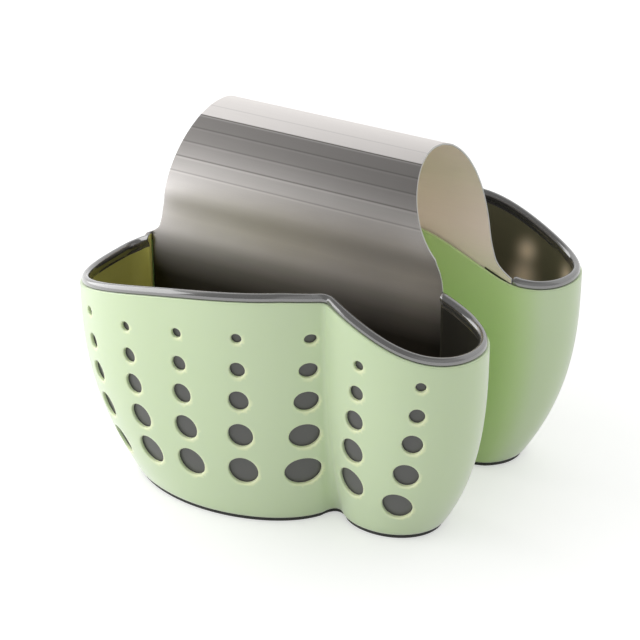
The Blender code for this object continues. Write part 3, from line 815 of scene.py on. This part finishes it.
def band_rows():
    """Half of the band's side view: outer (y, z), inner (y, z) and the run from the top."""
    crown_z = BAND_TOP - CROWN_RADIUS
    reach = LEG_FRONT_Y + REVERSE_RADIUS
    drop = math.sqrt((CROWN_RADIUS + REVERSE_RADIUS) ** 2 - reach ** 2)
    tilt = math.atan2(drop, reach)
    bend_z = crown_z - drop
    crown_run = CROWN_RADIUS * (math.pi / 2 + tilt)
    bend_run = crown_run + REVERSE_RADIUS * tilt
    runs = list(np.linspace(0.0, bend_run + bend_z - LEG_END_Z, BAND_ROWS))
    runs += [crown_run, bend_run]
    for k in range(len(BENDS)):
        runs += [BEND_PITCH * (k + 1) + d for d in BEND_ROWS]
    rows = []
    for run in sorted(runs):
        if run <= crown_run:
            turn = run / CROWN_RADIUS
            y, z = CROWN_RADIUS * math.sin(turn), crown_z + CROWN_RADIUS * math.cos(turn)
            out_y, out_z = math.sin(turn), math.cos(turn)
        elif run <= bend_run:
            turn = tilt - (run - crown_run) / REVERSE_RADIUS
            out_y, out_z = math.cos(turn), -math.sin(turn)
            y, z = reach - REVERSE_RADIUS * out_y, bend_z - REVERSE_RADIUS * out_z
        else:
            y, z, out_y, out_z = LEG_FRONT_Y, bend_z - (run - bend_run), 1.0, 0.0
        high = bend_swell(run)
        low = high - BAND_THICKNESS
        rows.append((y + high * out_y, z + high * out_z, y + low * out_y, z + low * out_z, run))
    return rows


def with_steps(rows, steps):
    """Adds rows just above and just below the heights where an edge steps in."""
    heights = sorted([z + FIT / 2 for z in steps] + [z - FIT / 2 for z in steps], reverse=True)
    result = rows[:1]
    for above, below in zip(rows, rows[1:]):
        for height in heights:
            if above[1] > height > below[1]:
                share = (above[1] - height) / (above[1] - below[1])
                result.append(tuple(a + (b - a) * share for a, b in zip(above, below)))
        result.append(below)
    return result


def flare(run, crown, growth):
    return crown + growth * (run / FLARE_RUN) ** FLARE_POWER


def left_edge(run, z):
    """The left edge runs out over the bead in a small shoulder."""
    if z < LEFT_STEP_Z:
        return leg_edge(z, SEAT_LEFT, LEG_END_LEFT)
    x = flare(min(run, SHOULDER_START), CROWN_LEFT, FLARE_LEFT)
    x += SHOULDER_SLOPE * max(0.0, run - SHOULDER_START)
    return min(TIP_LEFT, x + SHOULDER_CURVE * max(0.0, run - SHOULDER_CURL) ** 2)


def right_edge(run, z, side):
    if side < 0:
        if z < LEG_STRAIGHT_Z:
            return leg_edge(z, SEAT_RIGHT, LEG_END_RIGHT)
        return min(SEAT_RIGHT, flare(run, CROWN_RIGHT, FLARE_RIGHT_FRONT))
    if z < RIGHT_STEP_Z:
        return leg_edge(z, SEAT_RIGHT, LEG_END_RIGHT)
    sweep = SWEEP * max(0.0, (run - SWEEP_START) / SWEEP_RUN) ** 2
    return min(TIP_RIGHT, flare(run, CROWN_RIGHT, FLARE_RIGHT) + sweep)


def band_ring(outer_y, outer_z, inner_y, inner_z, left, right):
    across = np.linspace(-left + EDGE_CHAMFER, right - EDGE_CHAMFER, BAND_COLUMNS)
    t = EDGE_CHAMFER / BAND_THICKNESS
    x = np.concatenate((across, (right, right), across[::-1], (-left, -left)))
    depth = np.concatenate((np.zeros(BAND_COLUMNS), (t, 1 - t), np.ones(BAND_COLUMNS), (1 - t, t)))
    y = outer_y + (inner_y - outer_y) * depth
    z = outer_z + (inner_z - outer_z) * depth
    return np.stack((x, -y, z), axis=1)


def make_band(name, face, edge, inside):
    rows = with_steps(band_rows(), (LEFT_STEP_Z, RIGHT_STEP_Z))
    front, rear, runs = [], [], []
    for outer_y, outer_z, inner_y, inner_z, run in rows:
        left = left_edge(run, outer_z)
        for rings, side in ((front, -1), (rear, 1)):
            right = right_edge(run, outer_z, side)
            rings.append(band_ring(outer_y, outer_z, inner_y, inner_z, left, right))
        runs.append(run)
    whole = front[::-1] + [r * (1, -1, 1) for r in rear[1:]]
    whole_runs = [-r for r in runs[::-1]] + runs[1:]
    build = Build()
    first, last = build.rings(whole)
    size = len(whole[0])
    half = BAND_COLUMNS
    right_rim = (half - 1, half, half + 1, half + 2)
    left_rim = (0, 2 * half + 1, 2 * half + 2, 2 * half + 3)
    for cap, flip in ((first, True), (last, False)):
        quads = [(i, i + 1, 2 * half - i, 2 * half + 1 - i) for i in range(half - 1)]
        for quad in quads + [right_rim, left_rim]:
            build.face(*cap[list(quad[::-1] if flip else quad)])
    band = build.object(name, [face, edge, inside], smooth=32)
    mesh = band.data
    uv = mesh.uv_layers.new(name="sheet")
    ring_of = np.repeat(whole_runs, size)
    # Painted light on the sheet: one tone per ring of points.
    tone = mesh.attributes.new("tone", "FLOAT", "POINT")
    tone.data.foreach_set("value", np.repeat([band_painted_light(r) for r in whole_runs], size))
    for loop in mesh.loops:
        x = mesh.vertices[loop.vertex_index].co.x
        uv.data[loop.index].uv = (x, ring_of[loop.vertex_index])
    for polygon in mesh.polygons:
        spots = {v % size for v in polygon.vertices}
        on_edge = spots <= set(right_rim) or spots <= set(left_rim)
        within = spots <= set(range(half + 2, 2 * half + 2))
        polygon.material_index = 1 if on_edge else 2 if within else 0
    for side in (-1, 1):
        knife = Build()
        low = LEFT_STEP_Z - BEAD_RISE / 2
        end = -(TIP_LEFT + BEAD_RISE)
        view = [(-SEAT_LEFT, low), (end, low)]
        view += rim_line(end, -SEAT_LEFT, BEAD_RISE + 2 * FIT)
        side_prism(knife, view, GAP_HALF, CROWN_RADIUS)
        if side > 0:
            low = RIGHT_STEP_Z - BEAD_RISE / 2
            end = TIP_RIGHT + BEAD_RISE
            view = [(SEAT_RIGHT, low), (end, low)] + rim_line(end, SEAT_RIGHT, 2 * FIT)
            side_prism(knife, view, GAP_HALF, CROWN_RADIUS)
        for x in SCREW_X:
            add_turned(knife, x, ((LINER_FACE_Y + WALL, BOSS_RADIUS + FIT),
                                  (GAP_HALF + WALL / 2, BOSS_RADIUS + FIT)))
        cut(band, knife.mirror(side))
    return band


# Materials

def colour(red, green, blue):
    """Linear colour from screen values of 0 to 255."""
    def linear(v):
        v /= 255
        return v / 12.92 if v <= 0.04045 else ((v + 0.055) / 1.055) ** 2.4
    return (linear(red), linear(green), linear(blue), 1.0)


class Paint:
    """A material, with short calls for its nodes."""

    def __init__(self, name):
        self.material = bpy.data.materials.new(name)
        self.material.use_nodes = True
        self.tree = self.material.node_tree
        self.shader = self.tree.nodes["Principled BSDF"]

    def node(self, kind, values=None, **settings):
        node = self.tree.nodes.new("ShaderNode" + kind)
        for key, value in settings.items():
            setattr(node, key, value)
        for key, value in (values or {}).items():
            if isinstance(value, bpy.types.NodeSocket):
                self.tree.links.new(value, node.inputs[key])
            else:
                node.inputs[key].default_value = value
        return node

    def set(self, **values):
        for key, value in values.items():
            socket = self.shader.inputs[key.replace("_", " ")]
            if isinstance(value, bpy.types.NodeSocket):
                self.tree.links.new(value, socket)
            else:
                socket.default_value = value

    def place(self):
        return self.node("TexCoord").outputs["Object"]

    def axis(self, name):
        return self.node("SeparateXYZ", {"Vector": self.place()}).outputs[name]

    def depth(self):
        """Distance from the plane midway between the baskets."""
        return self.node("Math", {0: self.axis("Y")}, operation="ABSOLUTE").outputs[0]

    def mark(self, name):
        return self.node("Attribute", attribute_name=name).outputs["Fac"]

    def noise(self, scale, detail=3.0, vector=None, stretch=None):
        vector = vector or self.place()
        if stretch:
            vector = self.node("Mapping", {"Vector": vector, "Scale": stretch}).outputs[0]
        return self.node("TexNoise", {"Vector": vector, "Scale": scale, "Detail": detail,
                                      "Roughness": 0.55}).outputs["Fac"]

    def span(self, value, low, high):
        return self.node("MapRange", {"Value": value, "To Min": low, "To Max": high}).outputs[0]

    def ease(self, value, start, end):
        return self.node("MapRange", {"Value": value, "From Min": start, "From Max": end},
                         interpolation_type="SMOOTHSTEP").outputs[0]

    def mix(self, factor, first, second):
        node = self.node("Mix", {"Factor": factor}, data_type="RGBA")
        for socket, value in ((node.inputs[6], first), (node.inputs[7], second)):
            if isinstance(value, bpy.types.NodeSocket):
                self.tree.links.new(value, socket)
            else:
                socket.default_value = value
        return node.outputs[2]

    def bump(self, height, distance, strength=1.0):
        return self.node("Bump", {"Height": height, "Distance": distance,
                                  "Strength": strength}).outputs[0]


def green_plastic():
    """Pale green, with painted shade: a deeper green on the wall that faces the other basket; and a
    painted highlight round the holes, on their rounded lips.
    """
    paint = Paint("green_plastic")
    cloud = paint.noise(14.0, 2.0)
    grain = paint.noise(1400.0, 3.0)
    tone = paint.mix(cloud, colour(210, 229, 187), colour(216, 233, 194))
    # Painted shade: a deeper green on the wall that faces the other basket, where it stands in the
    # shade between the two baskets.
    tone = paint.mix(paint.ease(paint.depth(), 0.026, 0.017), tone, colour(198, 225, 157))
    # Painted highlight: the holes' lips go pale yellow-green, by the weight stored on the points.
    paint.set(Base_Color=paint.mix(paint.mark("lip_highlight"), tone, colour(242, 250, 204)),
              Roughness=paint.span(grain, 0.36, 0.46), Normal=paint.bump(grain, 0.00002, 0.5),
              IOR=1.49, Sheen_Weight=1.0, Sheen_Roughness=0.35,
              Subsurface_Weight=0.12, Subsurface_Scale=0.002)
    paint.shader.inputs["Subsurface Radius"].default_value = (0.9, 1.0, 0.4)
    return paint.material


def mottled(name, grain, tones, rough, bump, cloud=None, **more):
    """A material between two close tones, with a fine grain."""
    paint = Paint(name)
    fine = paint.noise(*grain)
    spots = paint.noise(*cloud) if cloud else fine
    paint.set(Base_Color=paint.mix(spots, colour(*tones[0]), colour(*tones[1])),
              Roughness=paint.span(fine, *rough), Normal=paint.bump(fine, *bump), **more)
    return paint.material


def grey_plastic():
    return mottled("grey_plastic", (1800.0, 3.0), ((84, 84, 83), (94, 94, 92)), (0.30, 0.40),
                   (0.000015, 0.5), (20.0, 2.0), IOR=1.5)


def grey_bead():
    """The liner's rolled rim, smoother than its walls."""
    return mottled("grey_bead", (1800.0, 3.0), ((71, 70, 68), (79, 78, 76)), (0.22, 0.30),
                   (0.000010, 0.5), (20.0, 2.0), IOR=1.5,
                   Coat_Weight=1.0, Coat_Roughness=0.08, Coat_IOR=2.4)


def grey_inside():
    """The liner's inner face, with painted light and shade: painted shade keeps it darker than the
    outer face, most near the divider; painted light makes it paler on the outer walls and olive at
    the left end, where light through the green wall would tint it, with pale spots behind the oval
    holes.
    """
    paint = Paint("grey_inside")
    grain = paint.noise(1800.0, 3.0)
    outer = paint.ease(paint.depth(), 0.024, 0.045)
    left = paint.ease(paint.axis("X"), -0.02, -0.088)
    # Painted shade near the divider, painted light on the walls away from it.
    tone = paint.mix(outer, colour(44, 43, 39), colour(104, 101, 76))
    # Painted light: olive at the left end, as if lit through the green wall.
    tone = paint.mix(left, tone, colour(200, 197, 106))
    # Painted light: pale spots where light through the oval holes would fall.
    tone = paint.mix(paint.mark("glow"), tone, colour(252, 232, 196))
    paint.set(Base_Color=tone, Roughness=paint.span(grain, 0.34, 0.44),
              Normal=paint.bump(grain, 0.000015, 0.5), IOR=1.5)
    return paint.material


def foot_rubber():
    return mottled("foot_rubber", (2200.0, 4.0), ((44, 44, 42), (60, 60, 58)), (0.6, 0.8),
                   (0.00005,))


def brushed(paint):
    """The flat sheet's coordinates, with coarse and fine brush strokes along its width."""
    sheet = paint.node("UVMap", uv_map="sheet").outputs[0]
    return (sheet, paint.noise(60.0, 5.0, sheet, (1.0, 90.0, 1.0)),
            paint.noise(160.0, 4.0, sheet, (1.0, 60.0, 1.0)))


def band_steel():
    paint = Paint("band_steel")
    sheet, grain, fine = brushed(paint)
    cloud = paint.noise(30.0, 2.0, sheet)
    dark = paint.mix(grain, colour(58, 55, 52), colour(68, 65, 61))
    bright = paint.mix(grain, colour(238, 233, 230), colour(250, 246, 243))
    along = paint.node("Tangent", direction_type="UV_MAP", uv_map="sheet").outputs[0]
    # The base colour is painted light: dark steel for shade, bright steel for reflection, by the
    # tone.
    paint.set(Base_Color=paint.mix(paint.mark("tone"), dark, bright), Metallic=1.0,
              Roughness=paint.span(cloud, 0.38, 0.42),
              Anisotropic=0.95, Anisotropic_Rotation=0.25, Tangent=along,
              Normal=paint.bump(fine, 0.00003, 0.4))
    return paint.material


def steel_inside():
    """The sheet's inner side: the same grain, duller and warmer; the warm pale colour is a painted
    reflection of the light bouncing between the sheet's faces.
    """
    paint = Paint("steel_inside")
    _, grain, fine = brushed(paint)
    # Painted reflection: a warm pale colour stands in for what the steel mirrors there.
    paint.set(Base_Color=paint.mix(grain, colour(238, 224, 212), colour(246, 233, 222)),
              Metallic=0.15, Roughness=paint.span(fine, 0.40, 0.50),
              Normal=paint.bump(fine, 0.00003, 0.4))
    return paint.material


def steel_edge():
    paint = Paint("steel_edge")
    grain = paint.noise(3000.0, 2.0)
    paint.set(Base_Color=paint.mix(grain, colour(168, 168, 165), colour(188, 188, 184)),
              Metallic=1.0, Roughness=paint.span(grain, 0.35, 0.5))
    return paint.material


def screw_steel():
    return mottled("screw_steel", (2500.0, 3.0), ((200, 200, 196), (220, 220, 216)), (0.25, 0.38),
                   (0.00002, 0.4), Metallic=1.0)


# Camera

AZIMUTH, ELEVATION, ROLL = (math.radians(a) for a in (32.42962, 26.04848, -0.282814))
DISTANCE = 0.970863
TARGET = Vector((-0.00648271, -0.00282628, 0.06336997))
FOCAL_LENGTH_MM, SENSOR_WIDTH_MM = 124.67, 36.0


def make_camera():
    away = Vector((math.sin(AZIMUTH) * math.cos(ELEVATION),
                   -math.cos(AZIMUTH) * math.cos(ELEVATION), math.sin(ELEVATION)))
    lens = bpy.data.cameras.new("camera")
    lens.lens = FOCAL_LENGTH_MM
    lens.sensor_width = SENSOR_WIDTH_MM
    camera = bpy.data.objects.new("camera", lens)
    bpy.context.scene.collection.objects.link(camera)
    camera.location = TARGET + DISTANCE * away
    camera.rotation_mode = "QUATERNION"
    aim = (-away).to_track_quat("-Z", "Y")
    camera.rotation_quaternion = aim @ Quaternion((0.0, 0.0, 1.0), ROLL)
    bpy.context.scene.camera = camera


# Light, floor and background

# The tent's levels along a ray's x, y or z: from, to, level before, level after
SHEET_BEHIND, SHEET_TOP = (0.0, 0.3, 0.0, 1.0), (0.75, 0.95, 1.0, 0.0)
SHINE_LEFT, SHINE_RIGHT = (-0.62, -0.44, 0.85, 0.32), (0.40, 0.65, 0.34, 0.62)
FILL_ACROSS, FILL_BEHIND = (-1.0, 1.0, 1.14, 0.50), (0.1, 0.6, 0.0, 1.25)

PANEL_PLACE, PANEL_TARGET = (-0.70, -0.50, 0.38), (0.0, -0.50, 0.30)
PANEL_SIZE, PANEL_POWER = (1.30, 0.76), 5.0
FLOOR_HALF, FLOOR_GREY, FLOOR_GLOW = 3.0, 0.66, 0.45


def make_world():
    """A light tent: a white sheet behind, soft panels at the sides, dimmer in front."""
    world = bpy.data.worlds.new("studio")
    bpy.context.scene.world = world
    world.use_nodes = True
    nodes, links = world.node_tree.nodes, world.node_tree.links
    nodes.clear()

    def math_node(operation, first, second):
        node = nodes.new("ShaderNodeMath")
        node.operation = operation
        for socket, value in zip(node.inputs, (first, second)):
            links.new(value, socket)
        return node.outputs[0]

    def rise(value, start, end, low, high):
        node = nodes.new("ShaderNodeMapRange")
        node.interpolation_type = "SMOOTHSTEP"
        links.new(value, node.inputs["Value"])
        for key, number in (("From Min", start), ("From Max", end),
                            ("To Min", low), ("To Max", high)):
            node.inputs[key].default_value = number
        return node.outputs[0]

    path = nodes.new("ShaderNodeLightPath").outputs
    split = nodes.new("ShaderNodeSeparateXYZ")
    links.new(nodes.new("ShaderNodeTexCoord").outputs["Generated"], split.inputs[0])
    x, y, z = split.outputs
    behind = math_node("MULTIPLY", rise(y, *SHEET_BEHIND), rise(z, *SHEET_TOP))
    sides = math_node("MAXIMUM", rise(x, *SHINE_LEFT), rise(x, *SHINE_RIGHT))
    shine = math_node("MAXIMUM", behind, sides)
    fill = math_node("MAXIMUM", rise(x, *FILL_ACROSS), rise(y, *FILL_BEHIND))
    mirror = math_node("MAXIMUM", path["Is Glossy Ray"], path["Is Transmission Ray"])
    level = nodes.new("ShaderNodeMix")
    for slot, value in ((0, mirror), (2, fill), (3, shine)):
        links.new(value, level.inputs[slot])
    light = nodes.new("ShaderNodeBackground")
    links.new(level.outputs[0], light.inputs["Strength"])
    white = nodes.new("ShaderNodeBackground")
    white.inputs["Strength"].default_value = 1.0
    for shade in (light, white):
        shade.inputs["Color"].default_value = (1.0, 1.0, 1.0, 1.0)
    seen = math_node("MAXIMUM", path["Is Camera Ray"], math_node("MULTIPLY", mirror, behind))
    mix = nodes.new("ShaderNodeMixShader")
    out = nodes.new("ShaderNodeOutputWorld")
    links.new(seen, mix.inputs[0])
    links.new(light.outputs[0], mix.inputs[1])
    links.new(white.outputs[0], mix.inputs[2])
    links.new(mix.outputs[0], out.inputs[0])


def make_panel():
    lamp = bpy.data.lights.new("left_panel", "AREA")
    lamp.shape = "RECTANGLE"
    lamp.size, lamp.size_y = PANEL_SIZE
    lamp.energy = PANEL_POWER
    panel = bpy.data.objects.new("left_panel", lamp)
    bpy.context.scene.collection.objects.link(panel)
    panel.location = PANEL_PLACE
    panel.rotation_mode = "QUATERNION"
    aim = Vector(PANEL_TARGET) - Vector(PANEL_PLACE)
    panel.rotation_quaternion = aim.to_track_quat("-Z", "Y")


def make_floor():
    corners = [(x * FLOOR_HALF, y * FLOOR_HALF, 0) for x, y in ((-1, -1), (1, -1), (1, 1), (-1, 1))]
    mesh = bpy.data.meshes.new("floor")
    mesh.from_pydata(corners, [], [(0, 1, 2, 3)])
    floor = bpy.data.objects.new("floor", mesh)
    bpy.context.scene.collection.objects.link(floor)
    paint = Paint("floor")
    paint.set(Base_Color=(*3 * [FLOOR_GREY], 1.0), Roughness=0.7, Specular_IOR_Level=0.2)
    path = paint.node("LightPath").outputs
    seen = path["Is Camera Ray"]
    for ray in ("Is Glossy Ray", "Is Transmission Ray"):
        seen = paint.node("Math", {0: seen, 1: path[ray]}, operation="MAXIMUM").outputs[0]
    paint.set(Emission_Color=(1.0, 1.0, 1.0, 1.0),
              Emission_Strength=paint.span(seen, 0.0, FLOOR_GLOW))
    mesh.materials.append(paint.material)


bpy.context.scene.view_settings.view_transform = "Standard"
make_camera()
make_world()
make_panel()
make_floor()

green, greys, rubber = green_plastic(), [grey_plastic(), grey_inside(), grey_bead()], foot_rubber()
steel, edge, inside, screw = band_steel(), steel_edge(), steel_inside(), screw_steel()
for where, side in (("front", -1), ("rear", 1)):
    body = where + "_basket"
    for kind, make, material, slot in (("shell", make_shell, green, "green_plastic"),
                                       ("liner", make_liner, greys, "grey_plastic"),
                                       ("foot_pad", make_pad, rubber, "foot_rubber")):
        thing = make(f"{where}_{kind}_skin", side, material)
        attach(thing, body)
        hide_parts(f"{where}_{kind}")
    for k, x in enumerate(SCREW_X):
        thing = make_screw(f"{where}_screw_{k + 1}_skin", side, x, screw)
        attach(thing, body)
        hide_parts(f"{where}_screw_{k + 1}")
band = make_band("band_skin", steel, edge, inside)
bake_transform(band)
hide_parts("saddle_band")
